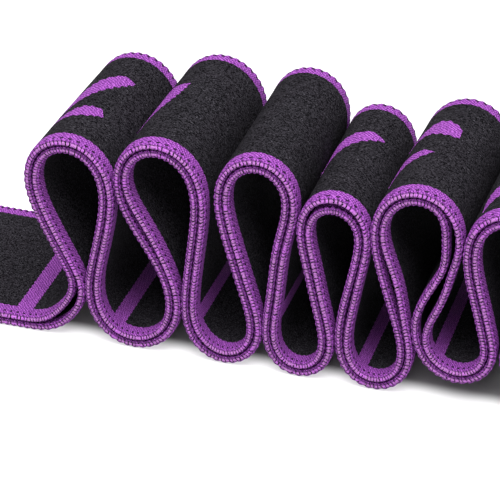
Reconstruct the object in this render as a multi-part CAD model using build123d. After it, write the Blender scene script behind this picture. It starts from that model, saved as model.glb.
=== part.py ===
"""Elastic stretching strap, folded concertina-fashion and standing on its lower bends.

Two woven elastic plies lie on each other and are tied together by cross seams, which
leave a row of hand and foot loops between them.  The folded strap is modelled as two
tails and twelve standing legs, split at the crest of every bend, where the strap hinges.

Millimetres, +Z up.  +X runs along the row, +Y across the webbing, away from the front
edge.  The origin is under the middle of the folded strap, on the surface it stands on.
"""
import math
import os
from bisect import bisect_right

from build123d import *

# ---- webbing -------------------------------------------------------------------------
WIDTH = 40.0            # webbing width, selvedge to selvedge
PLY = 1.55              # thickness of one ply
PLY_GAP = 0.10          # air between the two plies where they lie together
HALF = PLY_GAP / 2 + PLY    # middle of the pair to either outer face

# ---- route of the folded pair --------------------------------------------------------
LEFT_LENGTH = 105.0     # flat left tail, from its end to where the first bend starts
RIGHT_LENGTH = 112.0    # flat right tail, from where the last bend stops to its end
END_LENGTH = 12.0       # outermost stretch of each tail, which holds the end seam
# Every bend: name, length of webbing in it, heading after it in degrees (0 is along
# +X, 90 is straight up), lean of its curvature to one end, and how flat its crest is.
BENDS = [
    ("floor_fold_0", 23.3, 116, -0.1, 0.6),
    ("top_fold_1", 62.5, -103, -0.1, -1.0),
    ("floor_fold_1", 55.5, 120, 0.6, -0.1),
    ("top_fold_2", 53.3, -97, 0.9, -0.2),
    ("floor_fold_2", 48.1, 106, 0.4, -0.9),
    ("top_fold_3", 56.3, -96, 0.6, -1.5),
    ("floor_fold_3", 43.9, 103, -0.1, -1.3),
    ("top_fold_4", 46.6, -100, 0.0, -1.4),
    ("floor_fold_4", 45.4, 107, 0.0, -0.9),
    ("top_fold_5", 54.7, -113, -0.2, -0.7),
    ("floor_fold_5", 34.4, 104, -0.4, 0.3),
    ("top_fold_6", 60.4, -110, -0.1, -1.3),
    ("floor_fold_6", 23.3, 0, 0.0, 0.5),
]
# Places where the plies stand apart: distance along the strap, half length of the gap,
# and how far the upper and the lower ply move off their usual line.
SLACK = [
    (11.0, 11.0, 0.5, 0.5),
    (95.0, 9.0, 0.2, 0.0),
    (141.0, 13.0, 0.4, 0.3),
    (212.0, 9.0, 0.3, 0.0),
    (288.0, 12.0, -0.15, 0.2),
    (353.0, 12.0, -0.15, 0.2),
    (366.5, 10.0, 0.2, 0.5),
    (393.0, 9.0, 0.0, 0.2),
    (439.0, 13.0, 0.0, 0.9),
    (475.0, 9.0, 0.0, 0.9),
    (491.0, 11.0, 1.0, 0.5),
]

# ---- rubber threads inside each ply --------------------------------------------------
THREAD_THICK = 0.70     # through the ply
THREAD_WIDE = 0.90      # across the webbing
THREAD_PITCH = 12.0
THREADS = 3
THREAD_CLEAR = 0.05     # all round, and at the ends of each length

# ---- cross seams ---------------------------------------------------------------------
SEAMS = [-98.0, -0.5, 102.5, 205.0, 306.0, 407.5, 504.0, 604.0, 706.0]
STITCHES = 6
STITCH_PITCH = 6.0
SHANK_LONG = 0.60       # yarn that goes through both plies, along the strap
SHANK_WIDE = 1.40       # and across it
BAND_LONG = 2.90        # yarn that lies in the outer faces and makes the cross band
BAND_WIDE = 5.60
BAND_DEEP = 0.15
SEAM_CLEAR = 0.03

# ---- splits between pieces -----------------------------------------------------------
SPLIT_GAP = 0.10        # between neighbouring pieces at a bend's crest
TAIL_HINGE_TURN = 0.5   # share of the first bend before the hinge, mirrored at the last
STATION_STEP = 4.0      # distance between the points of a curved outline
ROUTE_STEP = 0.02       # distance between the sums that trace the route


def turn_share(t, lean, flat):
    """Share of a bend's whole turn that is done at t of its length."""
    once = (1 - math.cos(math.pi * t)) / math.pi
    twice = (1 - math.cos(2 * math.pi * t)) / (4 * math.pi)
    thrice = (1 - math.cos(3 * math.pi * t)) / (6 * math.pi) - once / 2
    whole = 2 / math.pi + flat * (1 / (3 * math.pi) - 1 / math.pi)
    return (once + lean * twice + flat * thrice) / whole


ENDS = [0.0]
HEADINGS = [0.0]
for _, bend_length, heading_after, _, _ in BENDS:
    ENDS.append(ENDS[-1] + bend_length)
    HEADINGS.append(math.radians(heading_after))
ROUTE_END = ENDS[-1]
START = -LEFT_LENGTH
FINISH = ROUTE_END + RIGHT_LENGTH


def heading(s):
    """Direction of the strap in radians at distance s from the start of the first bend."""
    if s <= 0 or s >= ROUTE_END:
        return 0.0
    bend = bisect_right(ENDS, s) - 1
    _, length, _, lean, flat = BENDS[bend]
    share = turn_share((s - ENDS[bend]) / length, lean, flat)
    return HEADINGS[bend] + share * (HEADINGS[bend + 1] - HEADINGS[bend])


def trace_route():
    """Running sums of the route through the bends, which starts at x = 0."""
    count = round(ROUTE_END / ROUTE_STEP)
    step = ROUTE_END / count
    places = [(0.0, HALF)]
    for k in range(count):
        angle = heading((k + 0.5) * step)
        x, z = places[-1]
        places.append((x + math.cos(angle) * step, z + math.sin(angle) * step))
    return places, step


ROUTE, ROUTE_STRIDE = trace_route()
BENT_SPAN = ROUTE[-1][0]
X_SHIFT = (LEFT_LENGTH - BENT_SPAN - RIGHT_LENGTH) / 2   # puts the origin mid-length


def station(s):
    """x, z and heading of the middle of the pair."""
    if s <= 0:
        return s + X_SHIFT, HALF, 0.0
    if s >= ROUTE_END:
        return BENT_SPAN + s - ROUTE_END + X_SHIFT, ROUTE[-1][1], 0.0
    place = s / ROUTE_STRIDE
    k = min(int(place), len(ROUTE) - 2)
    part = place - k
    x = ROUTE[k][0] + part * (ROUTE[k + 1][0] - ROUTE[k][0])
    z = ROUTE[k][1] + part * (ROUTE[k + 1][1] - ROUTE[k][1])
    return x + X_SHIFT, z, heading(s)


def slack(s, side):
    """How far a ply stands off its usual line; side is +1 for upper, -1 for lower."""
    total = 0.0
    for centre, reach, upper, lower in SLACK:
        off = abs(s - centre) / reach
        if off < 1:
            total += (upper if side > 0 else lower) * math.cos(math.pi / 2 * off) ** 2
    return total


def point(s, offset, side):
    """Point at an offset from the middle line; side says which ply's slack it follows."""
    x, z, angle = station(s)
    away = offset + side * slack(s, side) if side else offset
    return Vector(x - math.sin(angle) * away, -WIDTH / 2, z + math.cos(angle) * away)


def offset_line(first, last, offset, side):
    """Edges that follow the strap at an offset: straight on the tails, curved in bends."""
    knots = [first]
    knots += [k for k in (0.0, ROUTE_END) if first < k < last]
    knots.append(last)
    edges = []
    for a, b in zip(knots, knots[1:]):
        straight = b <= 0 or a >= ROUTE_END
        if straight:
            edges.append(Line(point(a, offset, 0), point(b, offset, 0)))
            continue
        count = max(2, math.ceil((b - a) / STATION_STEP))
        places = [a + (b - a) * k / count for k in range(count + 1)]
        edges.append(Spline(*[point(s, offset, side) for s in places]))
    return edges


def band(first, last, low, high, side):
    """Flat outline between two offsets and two places along the strap."""
    lower = offset_line(first, last, low, side)
    upper = offset_line(first, last, high, side)
    lower_ends = (lower[0] @ 0, lower[-1] @ 1)
    upper_ends = (upper[0] @ 0, upper[-1] @ 1)
    ends = [Line(lower_ends[0], upper_ends[0]), Line(lower_ends[1], upper_ends[1])]
    return make_face(lower + upper + ends)


def across(face, low_y, high_y):
    """Solid of an outline, from low_y to high_y across the webbing."""
    start = Pos(0, low_y + WIDTH / 2, 0) * face
    return extrude(start, amount=high_y - low_y, dir=(0, 1, 0))


def thread_places():
    """Middle of every rubber thread across the webbing."""
    return [(k - (THREADS - 1) / 2) * THREAD_PITCH for k in range(THREADS)]


def stitch_places():
    """Middle of every stitch across the webbing, between the rubber threads."""
    return [(k - (STITCHES - 1) / 2) * STITCH_PITCH for k in range(STITCHES)]


def seam_reaches(seam, grown):
    """The three outlines of a stitch: shank, upper band and lower band."""
    shank = SHANK_LONG / 2 + grown
    long = BAND_LONG / 2 + grown
    top = HALF + grown
    deep = HALF - BAND_DEEP - grown
    return [
        (band(seam - shank, seam + shank, -top, top, 0), SHANK_WIDE / 2 + grown),
        (band(seam - long, seam + long, deep, top, 0), BAND_WIDE / 2 + grown),
        (band(seam - long, seam + long, -top, -deep, 0), BAND_WIDE / 2 + grown),
    ]


def seam_room(seam):
    """Everything that one seam takes out of the plies."""
    tools = []
    for outline, reach in seam_reaches(seam, SEAM_CLEAR):
        for y in stitch_places():
            tools.append(across(outline, y - reach, y + reach))
    return tools


def make_ply(first, last, side):
    """One ply of one length of strap, with its thread channels and its seam slots."""
    inner = PLY_GAP / 2
    faces = (inner, HALF) if side > 0 else (-HALF, -inner)
    ply = across(band(first, last, *faces, side), -WIDTH / 2, WIDTH / 2)
    middle = side * (inner + PLY / 2)
    deep = THREAD_THICK / 2 + THREAD_CLEAR
    channel = band(first, last, middle - deep, middle + deep, side)
    reach = THREAD_WIDE / 2 + THREAD_CLEAR
    tools = [across(channel, y - reach, y + reach) for y in thread_places()]
    for seam in SEAMS:
        if first < seam < last:
            tools += seam_room(seam)
    return ply.cut(*tools)


def make_threads(first, last):
    """The rubber threads of both plies of one length of strap."""
    threads = []
    for side in (1, -1):
        middle = side * (PLY_GAP / 2 + PLY / 2)
        deep = THREAD_THICK / 2
        outline = band(first + THREAD_CLEAR, last - THREAD_CLEAR, middle - deep, middle + deep, side)
        for y in thread_places():
            threads.append(across(outline, y - THREAD_WIDE / 2, y + THREAD_WIDE / 2))
    return Compound(children=threads)


def make_seam(seam):
    """The stitches of one cross seam, each a shank between two bands."""
    stitches = []
    for y in stitch_places():
        parts = [across(outline, y - reach, y + reach) for outline, reach in seam_reaches(seam, 0)]
        stitches.append(parts[0].fuse(*parts[1:]))
    return Compound(children=stitches)


def crests():
    """Where each bend hinges: half way through its turn at the tails, else at its crest."""
    places = [ENDS[0] + TAIL_HINGE_TURN * BENDS[0][1]]
    for bend in range(1, len(BENDS) - 1):
        low, high = ENDS[bend], ENDS[bend + 1]
        rising = HEADINGS[bend] < 0
        for _ in range(60):
            middle = (low + high) / 2
            if (heading(middle) < 0) == rising:
                low = middle
            else:
                high = middle
        places.append((low + high) / 2)
    places.append(ENDS[-1] - TAIL_HINGE_TURN * BENDS[-1][1])
    return places


def lengths(hinges):
    """Name, start and end of every length of strap between splits."""
    splits = [START, START + END_LENGTH, *hinges, FINISH - END_LENGTH, FINISH]
    names = ["left_end", "left_tail"]
    names += [f"leg_{k:02d}" for k in range(1, len(hinges))]
    names += ["right_tail", "right_end"]
    pieces = []
    for name, first, last in zip(names, splits, splits[1:]):
        low = first if first == START else first + SPLIT_GAP / 2
        high = last if last == FINISH else last - SPLIT_GAP / 2
        pieces.append((name, low, high))
    return pieces


def save(shape, name):
    export_step(shape, f"parts/{name}.step")


os.makedirs("parts", exist_ok=True)
HINGES = crests()
print(f"origin shift {X_SHIFT:.3f}")
for (bend_name, *_), place in zip(BENDS, HINGES):
    outward = 1 if bend_name.startswith("top") else -1
    pivot = point(place, outward * HALF, outward)
    print(f"{bend_name}: s {place:.2f}  pivot x {pivot.X:.3f} z {pivot.Z:.3f}")
for piece_name, piece_start, piece_end in lengths(HINGES):
    save(make_ply(piece_start, piece_end, 1), f"upper_ply_{piece_name}")
    save(make_ply(piece_start, piece_end, -1), f"lower_ply_{piece_name}")
    save(make_threads(piece_start, piece_end), f"rubber_threads_{piece_name}")
for number, seam_place in enumerate(SEAMS):
    save(make_seam(seam_place), f"cross_seam_{number}")
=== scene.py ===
"""Looks of the folded elastic stretching strap.

The strap is two woven plies.  Each ply is a black web between two purple borders, and
each border ends in the bead of its selvedge.  The plies follow the same route as the CAD
plies.  They are cut into caps over the hinges, and the stiff stretches between them.  A
place on the strap is given by three numbers in millimetres: the distance along it, the
distance across it from its middle, and the offset off a face.
"""
import math
from bisect import bisect_right

import bmesh
import bpy
import numpy as np
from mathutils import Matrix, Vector


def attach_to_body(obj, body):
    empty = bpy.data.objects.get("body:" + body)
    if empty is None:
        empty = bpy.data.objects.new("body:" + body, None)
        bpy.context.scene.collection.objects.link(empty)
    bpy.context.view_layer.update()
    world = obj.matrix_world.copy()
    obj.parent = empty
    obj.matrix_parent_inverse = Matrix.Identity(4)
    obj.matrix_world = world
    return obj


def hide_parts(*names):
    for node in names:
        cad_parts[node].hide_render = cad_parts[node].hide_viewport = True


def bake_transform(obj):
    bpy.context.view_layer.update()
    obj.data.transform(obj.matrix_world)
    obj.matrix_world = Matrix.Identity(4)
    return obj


MM = 0.001

# ---- webbing, as in the CAD part -----------------------------------------------------
WIDTH = 40.0
PLY = 1.55
PLY_GAP = 0.10
HALF = PLY_GAP / 2 + PLY
PLY_MIDDLE = PLY_GAP / 2 + PLY / 2
LEFT_LENGTH = 105.0
RIGHT_LENGTH = 112.0
END_LENGTH = 12.0
# Every bend: name, length, heading after it, lean of its curvature, flatness of its crest.
BENDS = [
    ("floor_fold_0", 23.3, 116, -0.1, 0.6),
    ("top_fold_1", 62.5, -103, -0.1, -1.0),
    ("floor_fold_1", 55.5, 120, 0.6, -0.1),
    ("top_fold_2", 53.3, -97, 0.9, -0.2),
    ("floor_fold_2", 48.1, 106, 0.4, -0.9),
    ("top_fold_3", 56.3, -96, 0.6, -1.5),
    ("floor_fold_3", 43.9, 103, -0.1, -1.3),
    ("top_fold_4", 46.6, -100, 0.0, -1.4),
    ("floor_fold_4", 45.4, 107, 0.0, -0.9),
    ("top_fold_5", 54.7, -113, -0.2, -0.7),
    ("floor_fold_5", 34.4, 104, -0.4, 0.3),
    ("top_fold_6", 60.4, -110, -0.1, -1.3),
    ("floor_fold_6", 23.3, 0, 0.0, 0.5),
]
# Places where the plies stand apart: place, half length, upper and lower ply's shift.
SLACK = [
    (11.0, 11.0, 0.5, 0.5),
    (95.0, 9.0, 0.2, 0.0),
    (141.0, 13.0, 0.4, 0.3),
    (212.0, 9.0, 0.3, 0.0),
    (288.0, 12.0, -0.15, 0.2),
    (353.0, 12.0, -0.15, 0.2),
    (366.5, 10.0, 0.2, 0.5),
    (393.0, 9.0, 0.0, 0.2),
    (439.0, 13.0, 0.0, 0.9),
    (475.0, 9.0, 0.0, 0.9),
    (491.0, 11.0, 1.0, 0.5),
]
SEAMS = [-98.0, -0.5, 102.5, 205.0, 306.0, 407.5, 504.0, 604.0, 706.0]
ROUTE_STEP = 0.02       # step of the sum that traces the route

# ---- what only the looks have --------------------------------------------------------
WANDER_POWER = 1.5      # how late the shift sets in on the way from the front to the back
# The back edge of a fold strays from the front edge: place, half length, shift in x and z.
WANDER = [
    (-30.0, 60.0, 0.0, 0.9),
    (56.0, 45.0, 1.5, 0.8),
    (163.5, 45.0, 1.3, 0.9),
    (269.0, 45.0, 0.1, 0.9),
    (366.5, 42.0, -0.2, 0.6),
    (463.0, 45.0, 1.7, 0.5),
    (554.0, 45.0, 1.7, 0.3),
]
BORDER = 3.1            # purple border, from the selvedge to the black web
BORDER_PROUD = 0.03     # how far the border stands off the web on the outer face
INNER_TUCK = 0.05       # how far it lies back on the face to the other ply
SERRATION = 0.16        # how far the border's inner edge steps in and out
UNIT = 1.45             # pitch of the serration, the scallops and the row of pits
BEAD = 0.41             # radius of the selvedge's bead
BEAD_LEAN = 0.10        # how far the beads of the two plies lean to each other
PIT_PLACE = 1.10        # the row of pits, from the selvedge
PIT_DEEP = 0.12         # depth of a pit
SCALLOP = 0.26          # depth of a notch between two scallops of the selvedge
WEB_TUCK = 0.5          # how far the web runs on under the border
WEB_STEP = 0.70         # size of the web's facets along the strap
BAND_LONG = 3.6         # cross band of a seam, along the strap
BAND_WIDE = 37.4        # and across it
BAND_PROUD = 0.08       # how far a band stands off the web
BAND_RAGGED = 0.10      # how far the band's edges step in and out
SINK = 0.1              # how far bands and marks reach into the ply
# Woven marks: the tip's place along and across, the blunt end's, the greatest width, and
# how far the middle bows, as a share of the length.
MARKS = [
    ("mark_1_long", 49.8, -6.8, 58.2, 8.2, 4.6, 0.10),
    ("mark_1_short", 49.8, -10.0, 58.2, -6.6, 4.0, 0.08),
    ("mark_2", 154.2, -13.0, 159.8, 6.8, 6.6, 0.05),
    ("mark_4", 358.6, -7.0, 368.2, 6.8, 4.6, 0.17),
    ("mark_5_long", 454.4, 4.0, 464.4, 4.6, 5.6, 0.28),
    ("mark_5_short", 454.6, -11.0, 461.0, -3.0, 4.2, 0.24),
    ("mark_6", 548.4, -15.5, 554.6, -5.0, 4.4, 0.15),
]
MARK_PROUD = 0.05       # how far a mark stands off the web
MARK_STEP = 0.36        # size of a mark's facets along it
MARK_COLUMNS = 9        # points across a mark
MARK_JAG = 0.22         # how far a mark's edges step in and out
SHARP = 50              # an edge that turns by more degrees than this isn't smoothed

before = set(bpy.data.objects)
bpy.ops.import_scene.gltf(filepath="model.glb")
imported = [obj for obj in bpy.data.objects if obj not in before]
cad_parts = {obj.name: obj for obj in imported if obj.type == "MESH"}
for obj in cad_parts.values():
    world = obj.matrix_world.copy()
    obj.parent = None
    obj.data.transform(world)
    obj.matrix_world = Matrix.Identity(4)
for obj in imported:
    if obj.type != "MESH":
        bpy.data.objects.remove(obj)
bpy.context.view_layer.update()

# ---- route ---------------------------------------------------------------------------
ENDS = [0.0]
HEADINGS = [0.0]
for _, bend_length, heading_after, _, _ in BENDS:
    ENDS.append(ENDS[-1] + bend_length)
    HEADINGS.append(math.radians(heading_after))
ROUTE_END = ENDS[-1]


def turn_share(t, lean, flat):
    """Share of a bend's whole turn that is done at t of its length."""
    once = (1 - np.cos(np.pi * t)) / np.pi
    twice = (1 - np.cos(2 * np.pi * t)) / (4 * np.pi)
    thrice = (1 - np.cos(3 * np.pi * t)) / (6 * np.pi) - once / 2
    whole = 2 / np.pi + flat * (1 / (3 * np.pi) - 1 / np.pi)
    return (once + lean * twice + flat * thrice) / whole


def heading(s):
    """Direction of the strap in radians at the distances s."""
    angle = np.zeros_like(s)
    for bend, (_, length, _, lean, flat) in enumerate(BENDS):
        inside = (s >= ENDS[bend]) & (s < ENDS[bend + 1])
        share = turn_share((s[inside] - ENDS[bend]) / length, lean, flat)
        angle[inside] = HEADINGS[bend] + share * (HEADINGS[bend + 1] - HEADINGS[bend])
    return angle


def trace_route():
    """Distance, x and z of the middle of the pair through the bends."""
    count = round(ROUTE_END / ROUTE_STEP)
    step = ROUTE_END / count
    angle = heading((np.arange(count) + 0.5) * step)
    x = np.concatenate([[0.0], np.cumsum(np.cos(angle) * step)])
    z = HALF + np.concatenate([[0.0], np.cumsum(np.sin(angle) * step)])
    x += (LEFT_LENGTH - x[-1] - RIGHT_LENGTH) / 2
    return np.arange(count + 1) * step, x, z


ROUTE_S, ROUTE_X, ROUTE_Z = trace_route()


def bumps(s, rows, column):
    """Sum of soft bumps along the strap, each row a place, a half length and heights."""
    total = np.zeros_like(s)
    for row in rows:
        off = np.clip(np.abs(s - row[0]) / row[1], 0, 1)
        total += row[column] * np.cos(np.pi / 2 * off) ** 2
    return total


def place(s, v, n, side):
    """Points, in millimetres, at s along, v across and n off the pair's middle."""
    s, v, n = np.broadcast_arrays(np.asarray(s, float), v, n)
    x = np.interp(s, ROUTE_S, ROUTE_X) + np.minimum(s, 0) + np.maximum(s - ROUTE_END, 0)
    z = np.interp(s, ROUTE_S, ROUTE_Z)
    angle = heading(s)
    away = n + side * bumps(s, SLACK, 2 if side > 0 else 3)
    back = np.clip(v / WIDTH + 0.5, 0, 1) ** WANDER_POWER
    x = x - np.sin(angle) * away + back * bumps(s, WANDER, 2)
    z = z + np.cos(angle) * away + back * bumps(s, WANDER, 3)
    return np.stack([x, v, z], -1)


# ---- segments and how they move ------------------------------------------------------
CHAIN = ["left_tail"] + [f"leg_{k:02d}" for k in range(1, 13)] + ["right_tail"]
CLEAR = 0.3             # a blend starts and stops this far clear of the legs beside it
TAIL_REST = 8.0         # the stretch of a tail beside the bends that doesn't give


def upright(bend, degrees):
    """Distance along the strap where a bend reaches a heading."""
    just_inside = ENDS[bend + 1] - 1e-6
    s = np.linspace(ENDS[bend], just_inside, 2000)
    share = (heading(s) - HEADINGS[bend]) / (HEADINGS[bend + 1] - HEADINGS[bend])
    wanted = (math.radians(degrees) - HEADINGS[bend]) / (HEADINGS[bend + 1] - HEADINGS[bend])
    return float(np.interp(wanted, share, s))


def middle_at(s):
    """x and z of the pair's middle."""
    x, _, z = place(np.array([s]), 0.0, 0.0, 0)[0]
    return float(x), float(z)


def make_segments():
    """Every segment: name, first and last place, bodies, and the ends of its blend."""
    last = len(BENDS) - 1
    x, _ = middle_at(0.0)
    segments = [{
        "name": "left_tail", "first": -LEFT_LENGTH, "last": 0.0,
        "bodies": ("left_tail", "left_end"),
        "blend": ((x - TAIL_REST, 0), (x - LEFT_LENGTH + END_LENGTH, 0)),
    }]
    for bend, (name, *_) in enumerate(BENDS):
        rising = 90 if name.startswith("top") else -90
        first = 0.0 if bend == 0 else upright(bend, rising)
        stop = ROUTE_END if bend == last else upright(bend, -rising)
        reach = HALF + CLEAR
        start_x, start_z = middle_at(first)
        stop_x, stop_z = middle_at(stop)
        if bend == 0:
            ends = ((start_x, start_z + reach), (stop_x - reach, stop_z))
        elif bend == last:
            ends = ((start_x + reach, start_z), (stop_x, stop_z + reach))
        else:
            ends = ((start_x + reach, start_z), (stop_x - reach, start_z))
        if bend > 0:
            segments.append({
                "name": CHAIN[bend], "first": segments[-1]["last"], "last": first,
                "bodies": (CHAIN[bend],), "blend": None,
            })
        segments.append({
            "name": name, "first": first, "last": stop,
            "bodies": (CHAIN[bend], CHAIN[bend + 1]), "blend": ends,
        })
    x, _ = middle_at(ROUTE_END)
    segments.append({
        "name": "right_tail", "first": ROUTE_END, "last": ROUTE_END + RIGHT_LENGTH,
        "bodies": ("right_tail", "right_end"),
        "blend": ((x + TAIL_REST, 0), (x + RIGHT_LENGTH - END_LENGTH, 0)),
    })
    return segments


SEGMENTS = make_segments()


def segment_at(s):
    """The segment that holds a place along the strap."""
    starts = [segment["first"] for segment in SEGMENTS]
    return SEGMENTS[max(0, bisect_right(starts, s) - 1)]


def attach(piece, segment):
    """Makes a piece of a stiff stretch move with its body; a piece of a segment with a blend is
    only baked in place.
    """
    if segment["blend"] is None:
        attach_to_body(piece, segment["bodies"][0])
        return
    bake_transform(piece)


# ---- meshes --------------------------------------------------------------------------
def spaced(first, last, step):
    """Evenly spaced places from first to last, about a step apart."""
    return np.linspace(first, last, max(2, round((last - first) / step) + 1))


def make_mesh(name, points, weave, faces, finishes, numbers):
    """Smooth object from points, faces and each face's finish; weave is kept per point."""
    mesh = bpy.data.meshes.new(name)
    mesh.from_pydata(points * MM, [], faces)
    for finish in finishes:
        mesh.materials.append(finish)
    mesh.polygons.foreach_set("material_index", numbers)
    mesh.polygons.foreach_set("use_smooth", [True] * len(faces))
    kept = mesh.attributes.new("weave", "FLOAT_VECTOR", "POINT")
    kept.data.foreach_set("vector", weave.ravel())
    shape = bmesh.new()
    shape.from_mesh(mesh)
    bmesh.ops.recalc_face_normals(shape, faces=shape.faces)
    for edge in shape.edges:
        edge.smooth = edge.calc_face_angle(0) < math.radians(SHARP)
    shape.to_mesh(mesh)
    shape.free()
    piece = bpy.data.objects.new(name, mesh)
    bpy.context.scene.collection.objects.link(piece)
    return piece


def make_slab(name, s, v, low, high, side, finish):
    """Closed thin slab over a grid of places, between two offsets from the ply's middle."""
    rows, columns = s.shape
    layers = []
    weaves = []
    for n in (low, high):
        layers.append(place(s, v, side * PLY_MIDDLE + n, side).reshape(-1, 3))
        weaves.append(np.stack([s, v, np.full_like(s, n)], -1).reshape(-1, 3))
    count = rows * columns
    faces = []
    for k in range(rows - 1):
        for j in range(columns - 1):
            a = k * columns + j
            quad = (a, a + 1, a + columns + 1, a + columns)
            faces.append(quad)
            faces.append(tuple(count + i for i in reversed(quad)))
    rim = list(range(columns))
    rim += [k * columns + columns - 1 for k in range(1, rows)]
    rim += [(rows - 1) * columns + j for j in range(columns - 2, -1, -1)]
    rim += [k * columns for k in range(rows - 2, 0, -1)]
    for a, b in zip(rim, rim[1:] + rim[:1]):
        faces.append((a, b, count + b, count + a))
    points, weave = np.concatenate(layers), np.concatenate(weaves)
    return make_mesh(name, points, weave, faces, [finish], [0] * len(faces))


def on_beat(first, last):
    """Places from first to last that fall on the notches between the scallops."""
    step = UNIT / 5
    inner = np.arange(math.ceil(first / step + 0.3), math.floor(last / step - 0.3) + 1) * step
    return np.concatenate([[first], inner, [last]])


FLANK_POINTS = 8        # points of a border's outline on one face
BEAD_DEGREES = (72, 43, 14, -14, -43, -72)     # places of the outline's points on the bead


def border_section(s, side):
    """Outline of a border at every place: distances from the selvedge, and offsets."""
    phase = np.pi * s / UNIT
    step_in = SERRATION * np.clip(3 * np.cos(2 * phase), -1, 1) / 2
    pit = PIT_DEEP * np.clip(np.cos(2 * phase), 0, 1) ** 2
    scallop = SCALLOP * (1 - np.abs(np.sin(phase)))
    steady = np.ones_like(s)

    def flank(sign):
        """One face and its shoulder, from the inner edge to the bead."""
        rise = BORDER_PROUD if sign == side else -INNER_TUCK
        level = (PLY / 2 + rise) * steady
        outline = [
            (BORDER + step_in, level),
            (2.50 * steady, level),
            (1.60 * steady, level),
            (PIT_PLACE * steady, level - pit - 0.3 * scallop),
            (0.82 * steady, level - 0.01 - 0.3 * scallop),
            (0.60 * steady, level - 0.03 - 0.7 * scallop),
            (0.42 * steady + 0.3 * scallop, level - 0.08 - scallop),
            (0.34 * steady + 0.5 * scallop, BEAD + 0.10 - 0.5 * scallop),
        ]
        return [(inset, sign * n) for inset, n in outline]

    bead = []
    for degrees in BEAD_DEGREES:
        turn = math.radians(degrees)
        deep = BEAD * (1 - math.cos(turn)) + 0.02
        bead.append((steady * deep, steady * (BEAD * math.sin(turn) - side * BEAD_LEAN)))
    loop = flank(1) + bead + flank(-1)[::-1]
    return np.stack([inset for inset, _ in loop], -1), np.stack([n for _, n in loop], -1)


def make_border(name, first, last, side, finishes):
    """Front and back border of one ply, each a closed swept outline with its bead."""
    s = on_beat(first, last)
    inset, n = border_section(s, side)
    columns = n.shape[1]
    points = []
    weaves = []
    faces = []
    numbers = []
    bead_from, bead_to = FLANK_POINTS - 1, columns - FLANK_POINTS - 1
    for edge in (-1, 1):
        base = len(points) * len(s) * columns
        v = edge * (WIDTH / 2 - inset)
        along = np.broadcast_to(s[:, None], v.shape)
        points.append(place(along, v, side * PLY_MIDDLE + n, side).reshape(-1, 3))
        weaves.append(np.stack([along, v, n], -1).reshape(-1, 3))
        for k in range(len(s) - 1):
            for j in range(columns):
                a = base + k * columns + j
                b = base + k * columns + (j + 1) % columns
                faces.append((a, b, b + columns, a + columns))
                numbers.append(1 if bead_from <= j <= bead_to else 0)
        for end in (0, len(s) - 1):
            faces.append(tuple(base + end * columns + j for j in range(columns)))
            numbers.append(0)
    points, weave = np.concatenate(points), np.concatenate(weaves)
    return make_mesh(name, points, weave, faces, finishes, numbers)


def make_web(name, first, last, side, finish):
    """Black middle of one ply."""
    edge = WIDTH / 2 - BORDER + WEB_TUCK
    along, across = spaced(first, last, WEB_STEP), spaced(-edge, edge, 2 * UNIT)
    s, v = np.meshgrid(along, across, indexing="ij")
    return make_slab(name, s, v, -PLY / 2, PLY / 2, side, finish)


def make_band(name, seam, side, finish):
    """Cross band of a seam on the outer face of one ply."""
    long = BAND_LONG / 2
    along = spaced(seam - long, seam + long, UNIT / 5)
    across = spaced(-BAND_WIDE / 2, BAND_WIDE / 2, UNIT / 2)
    s, v = np.meshgrid(along, across, indexing="ij")
    ragged = BAND_RAGGED * np.sign(np.cos(2 * np.pi * v / UNIT))
    s = s + ragged * (s - seam) / long
    outer = PLY / 2 + BAND_PROUD
    inner = PLY / 2 - SINK
    low, high = (inner, outer) if side > 0 else (-outer, -inner)
    return make_slab(name, s, v, low, high, side, finish)


def make_mark(name, s0, v0, s1, v1, wide, bow_share, finish):
    """Woven slash on the upper face, tapered to both ends, with stepped edges."""
    length = math.hypot(s1 - s0, v1 - v0)
    t = np.linspace(0, 1, round(length / MARK_STEP))
    # The taper is widest at about 0.7 of the length, and leaves the far end blunt.
    taper = np.maximum(np.sin(0.8 * np.pi * t ** 1.3), 0.05)
    steps = MARK_JAG * np.sign(np.sin(2 * np.pi * t * length / (4 * MARK_STEP)))
    half = (wide / 2 * taper + steps * taper)[:, None] * np.linspace(-1, 1, MARK_COLUMNS)[None, :]
    along = np.array([s1 - s0, v1 - v0]) / length
    bow = bow_share * length * np.sin(np.pi * t)[:, None]
    s = s0 + (s1 - s0) * t[:, None] - along[1] * (half + bow)
    v = v0 + (v1 - v0) * t[:, None] + along[0] * (half + bow)
    return make_slab(name, s, v, PLY / 2 - SINK, PLY / 2 + MARK_PROUD, 1, finish)


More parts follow.
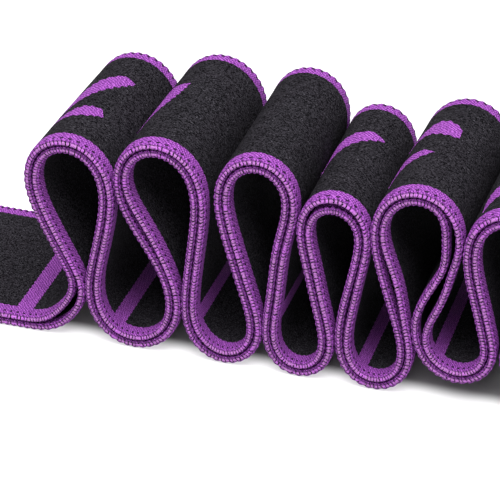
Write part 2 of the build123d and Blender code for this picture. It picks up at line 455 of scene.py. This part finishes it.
# ---- materials -----------------------------------------------------------------------
class Finish:
    """A node material.  A woven one's pattern follows the strap's own three numbers."""

    def __init__(self, name):
        self.material = bpy.data.materials.new(name)
        self.material.use_nodes = True
        self.tree = self.material.node_tree
        self.shader = self.tree.nodes["Principled BSDF"]
        weave = self.tree.nodes.new("ShaderNodeAttribute")
        weave.attribute_name = "weave"
        self.weave = weave.outputs["Vector"]
        split = self.tree.nodes.new("ShaderNodeSeparateXYZ")
        self.tree.links.new(self.weave, split.inputs[0])
        self.s, self.v, self.n = split.outputs

    def put(self, socket, value):
        """Sets a socket, or links it where the value is a socket itself."""
        if isinstance(value, bpy.types.NodeSocket):
            self.tree.links.new(value, socket)
        else:
            socket.default_value = value

    def math(self, operation, *values):
        """One arithmetic node."""
        node = self.tree.nodes.new("ShaderNodeMath")
        node.operation = operation
        for socket, value in zip(node.inputs, values):
            self.put(socket, value)
        return node.outputs[0]

    def total(self, *parts):
        """Sum of socket times weight for every (socket, weight)."""
        result = 0.0
        for socket, weight in parts:
            result = self.math("MULTIPLY_ADD", socket, weight, result)
        return result

    def ridges(self, along, across, warp, amount):
        """0 to 1 waves whose crests are along and across millimetres apart."""
        place_in = self.total((self.s, 1 / along), (self.v, 1 / across), (warp, amount))
        wave = self.math("COSINE", self.math("MULTIPLY", place_in, 2 * math.pi))
        return self.math("MULTIPLY_ADD", wave, 0.5, 0.5)

    def noise(self, size, turn=0.0, detail=2.0, rough=0.5):
        """Noise whose blobs are of a size in millimetres, turned by degrees on the face."""
        scale = self.tree.nodes.new("ShaderNodeMapping")
        scale.vector_type = "TEXTURE"
        scale.inputs["Rotation"].default_value = (0, 0, math.radians(turn))
        scale.inputs["Scale"].default_value = size
        self.tree.links.new(self.weave, scale.inputs[0])
        node = self.tree.nodes.new("ShaderNodeTexNoise")
        node.inputs["Scale"].default_value = 1.0
        node.inputs["Detail"].default_value = detail
        node.inputs["Roughness"].default_value = rough
        self.tree.links.new(scale.outputs[0], node.inputs["Vector"])
        return node.outputs["Fac"]

    def step(self, value, low, high):
        """0 below low and 1 above high."""
        node = self.tree.nodes.new("ShaderNodeMapRange")
        node.interpolation_type = "SMOOTHSTEP"
        node.inputs["From Min"].default_value = low
        node.inputs["From Max"].default_value = high
        self.put(node.inputs["Value"], value)
        return node.outputs[0]

    def mix(self, share, a, b):
        """Colour between a and b."""
        node = self.tree.nodes.new("ShaderNodeMix")
        node.data_type = "RGBA"
        self.put(node.inputs["Factor"], share)
        self.put(node.inputs[6], a)
        self.put(node.inputs[7], b)
        return node.outputs[2]

    def end(self, colour, height, depth, roughness, sheen, gloss):
        """Links the pattern to the shader; depth is the bump's in millimetres."""
        bump = self.tree.nodes.new("ShaderNodeBump")
        bump.inputs["Strength"].default_value = 1.0
        bump.inputs["Distance"].default_value = depth * MM
        self.put(bump.inputs["Height"], height)
        self.tree.links.new(bump.outputs[0], self.shader.inputs["Normal"])
        self.put(self.shader.inputs["Base Color"], colour)
        self.put(self.shader.inputs["Roughness"], roughness)
        self.shader.inputs["Specular IOR Level"].default_value = gloss
        self.shader.inputs["Sheen Weight"].default_value = sheen
        self.shader.inputs["Sheen Roughness"].default_value = 0.5
        return self.material


BLACK_DEEP = (0.0014, 0.0012, 0.0018, 1)
BLACK = (0.024, 0.022, 0.027, 1)
FLECK = (0.100, 0.095, 0.110, 1)
PURPLE_DEEP = (0.046, 0.007, 0.067, 1)
PURPLE = (0.170, 0.034, 0.235, 1)
PURPLE_PALE = (0.388, 0.108, 0.482, 1)
LILAC = (0.350, 0.138, 0.385, 1)
SHADE = (0.004, 0.001, 0.006, 1)


def black_web():
    """Black elastic: short slanted strands, a soft cloudiness and a few pale flecks."""
    f = Finish("black_web")
    strands = f.noise((0.30, 0.15, 0.5), 0, 0.0)
    counter = f.noise((0.17, 0.20, 0.4), -20, 0.0)
    height = f.total((strands, 1.0), (counter, 0.5))
    cloud = f.noise((7.0, 7.0, 7.0))
    fleck = f.step(f.noise((0.32, 0.24, 0.3), 30, 0.0), 0.72, 0.84)
    level = f.math("MULTIPLY_ADD", cloud, 0.08, height)
    body = f.mix(f.step(level, 0.66, 0.96), BLACK_DEEP, BLACK)
    colour = f.mix(f.math("MULTIPLY", fleck, 0.5), body, FLECK)
    return f.end(colour, height, 0.07, 0.9, 0.0, 0.04)


def purple_twill(name, pits):
    """Purple yarn in slanted floats; a border also has the dark row beside its bead, which is
    painted shade in its pits, and painted shade in the notches of its shoulder.
    """
    f = Finish(name)
    warp = f.noise((0.9, 0.7, 0.9), 0, 2.0, 0.6)
    twill = f.ridges(0.72, 0.80, warp, 1.9)
    picks = f.ridges(0.41, -1.3, warp, 1.1)
    fibre = f.noise((0.42, 0.17, 0.25), 48, 2.0, 0.7)
    height = f.total((twill, 0.42), (picks, 0.25), (fibre, 0.75))
    body = f.mix(f.step(height, 0.30, 0.70), PURPLE_DEEP, PURPLE)
    colour = f.mix(f.step(height, 0.70, 1.10), body, PURPLE_PALE)
    if pits:
        inset = f.math("SUBTRACT", WIDTH / 2, f.math("ABSOLUTE", f.v))
        row = f.math("ABSOLUTE", f.math("SUBTRACT", inset, PIT_PLACE))
        near_row = f.step(f.math("MULTIPLY", row, -1.0), -0.34, -0.18)
        beat = f.ridges(UNIT, 9.0, warp, 0.12)
        pit = f.math("MULTIPLY", near_row, f.step(beat, 0.62, 0.82))
        shoulder = f.step(f.math("MULTIPLY", inset, -1.0), -0.62, -0.40)
        notch = f.math("MULTIPLY", shoulder, f.step(beat, 0.72, 0.96))
        # Painted shade: the pits and the notches between the scallops are mixed towards SHADE.
        colour = f.mix(f.math("MULTIPLY", pit, 0.95), colour, SHADE)
        colour = f.mix(f.math("MULTIPLY", notch, 0.8), colour, SHADE)
        height = f.math("MULTIPLY_ADD", pit, -1.0, height)
    return f.end(colour, height, 0.18, 0.75, 0.0, 0.12)


def selvedge_bead():
    """Lilac bead: turns of yarn with painted shade as a dark tick between each and the next, and
    painted shade on its flanks.
    """
    f = Finish("selvedge_bead")
    warp = f.noise((0.8, 0.8, 0.8), 0, 2.0, 0.6)
    place_in = f.total((f.s, 2 / UNIT), (f.math("MULTIPLY", f.n, f.n), 1.2), (warp, 1.0))
    wave = f.math("COSINE", f.math("MULTIPLY", place_in, 2 * math.pi))
    tick_shade = f.step(wave, 0.42, 0.72)
    strength = f.step(f.noise((1.1, 1.1, 1.1), 0, 1.0), 0.34, 0.46)
    fibre = f.noise((0.16, 0.45, 0.45), 0, 3.0, 0.7)
    patch = f.noise((1.6, 1.6, 1.6), 0, 1.0)
    crown = f.mix(f.step(patch, 0.30, 0.55), PURPLE_PALE, LILAC)
    body = f.mix(f.step(fibre, 0.30, 0.55), PURPLE, crown)
    # Painted shade: the bead is darker on its flanks than on its crown.
    flank = f.step(f.math("ABSOLUTE", f.n), 0.20, 0.40)
    shaded = f.mix(f.math("MULTIPLY", flank, 0.8), body, PURPLE_DEEP)
    # Painted shade: a dark tick in the groove between two turns of yarn.
    colour = f.mix(f.math("MULTIPLY", tick_shade, strength), shaded, SHADE)
    height = f.total((wave, -0.5), (fibre, 0.4))
    return f.end(colour, height, 0.07, 0.7, 0.0, 0.12)


WEB = black_web()
BORDER_YARN = purple_twill("border_yarn", True)
BAND_YARN = purple_twill("band_yarn", False)
BEAD_YARN = selvedge_bead()

# ---- the strap -----------------------------------------------------------------------
PLIES = (("upper", 1), ("lower", -1))
extras = {}
for segment in SEGMENTS:
    for ply, side in PLIES:
        name, first, last = segment["name"], segment["first"], segment["last"]
        web = make_web(f"{ply}_web_{name}", first, last, side, WEB)
        border = make_border(f"{ply}_border_{name}", first, last, side, [BORDER_YARN, BEAD_YARN])
        for piece, slot in ((web, "woven_elastic"), (border, "purple_yarn")):
            attach(piece, segment)
        extras[ply, name] = [border]

for number, seam in enumerate(SEAMS):
    segment = segment_at(seam)
    for ply, side in PLIES:
        band = make_band(f"{ply}_band_{number}", seam, side, BAND_YARN)
        attach(band, segment)
        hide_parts(f"cross_seam_{number}")
        extras[ply, segment["name"]].append(band)

for name, *shape in MARKS:
    segment = segment_at((shape[0] + shape[2]) / 2)
    mark = make_mark(name, *shape, BAND_YARN)
    attach(mark, segment)
    extras["upper", segment["name"]].append(mark)

for segment in SEGMENTS:
    name = segment["name"]

for ply, _ in PLIES:
    for body in CHAIN:
        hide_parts(f"{ply}_ply_{body}", f"rubber_threads_{body}")
    for side in ("left", "right"):
        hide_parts(f"{ply}_ply_{side}_end", f"rubber_threads_{side}_end")

# ---- floor, light and camera ---------------------------------------------------------
FLOOR_SIZE = 6          # in metres
FLOOR_DROP = 0.06       # the floor lies this far under the surface the CAD part stands on
FLOOR_GREY = 0.42       # what the floor reflects
PAINTED_GLOW = 0.58             # strength of the floor's painted glow
ROW_REACH = 48.0        # half length of the painted shadow, where the glow is left out
ROW_FADE = 45.0         # how far it fades out at its ends
ROW_DEEP = 13.5         # half width of the painted shadow
DEEP_FADE = 4.5         # how far it fades out at its sides


def studio_floor():
    """Plain white floor with a painted glow, as of a light table; the glow is left out where the
    folded row stands on it, which paints a shadow there.
    """
    f = Finish("studio_floor")
    where = f.tree.nodes.new("ShaderNodeNewGeometry").outputs["Position"]
    split = f.tree.nodes.new("ShaderNodeSeparateXYZ")
    f.tree.links.new(where, split.inputs[0])
    x, y, _ = split.outputs
    # Painted shadow: the glow fades out under the folded row, towards its ends and sides.
    beside = f.step(f.math("ABSOLUTE", x), ROW_REACH * MM, (ROW_REACH + ROW_FADE) * MM)
    before = f.step(f.math("ABSOLUTE", y), ROW_DEEP * MM, (ROW_DEEP + DEEP_FADE) * MM)
    painted_glow_share = f.math("MAXIMUM", beside, before)
    f.put(f.shader.inputs["Emission Strength"], f.math("MULTIPLY", painted_glow_share, PAINTED_GLOW))
    f.shader.inputs["Emission Color"].default_value = (1, 1, 1, 1)
    f.shader.inputs["Base Color"].default_value = (FLOOR_GREY, FLOOR_GREY, FLOOR_GREY, 1)
    f.shader.inputs["Roughness"].default_value = 0.9
    f.shader.inputs["Specular IOR Level"].default_value = 0.1
    return f.material


bpy.ops.mesh.primitive_grid_add(
    x_subdivisions=8, y_subdivisions=8, size=FLOOR_SIZE, location=(0, 0, -FLOOR_DROP * MM))
floor = bpy.context.object
floor.name = "floor"
floor.data.materials.append(studio_floor())

world = bpy.data.worlds.new("studio")
bpy.context.scene.world = world
world.use_nodes = True
world.node_tree.nodes["Background"].inputs[0].default_value = (1, 1, 1, 1)
world.node_tree.nodes["Background"].inputs[1].default_value = 0.33


def softbox(name, spot, aim, size, power):
    """Square area light at a spot, turned to its aim."""
    light = bpy.data.lights.new(name, "AREA")
    light.size = size
    light.energy = power
    lamp = bpy.data.objects.new(name, light)
    lamp.location = spot
    lamp.rotation_euler = (Vector(aim) - Vector(spot)).to_track_quat("-Z", "Y").to_euler()
    bpy.context.scene.collection.objects.link(lamp)


softbox("top", (0.0, -0.25, 1.25), (0, 0, 0), 1.3, 32.0)
softbox("key", (0.08, -0.22, 0.62), (0, 0, 0.02), 0.35, 2.6)
softbox("front", (0.10, -0.75, 0.30), (0.05, 0, 0), 0.5, 1.3)

CAMERA_TARGET = Vector((-0.01080, -0.020, 0.02785))
CAMERA_DISTANCE = 0.4297
CAMERA_AZIMUTH = math.radians(17.31)
CAMERA_ELEVATION = math.radians(31.16)
camera = bpy.data.objects.new("camera", bpy.data.cameras.new("camera"))
camera.data.lens = 159.5
camera.data.sensor_width = 36.0
look = Vector((
    -math.sin(CAMERA_AZIMUTH) * math.cos(CAMERA_ELEVATION),
    math.cos(CAMERA_AZIMUTH) * math.cos(CAMERA_ELEVATION),
    -math.sin(CAMERA_ELEVATION),
))
camera.location = CAMERA_TARGET - look * CAMERA_DISTANCE
camera.rotation_euler = look.to_track_quat("-Z", "Y").to_euler()
bpy.context.scene.collection.objects.link(camera)
bpy.context.scene.camera = camera
bpy.context.scene.view_settings.view_transform = "Standard"
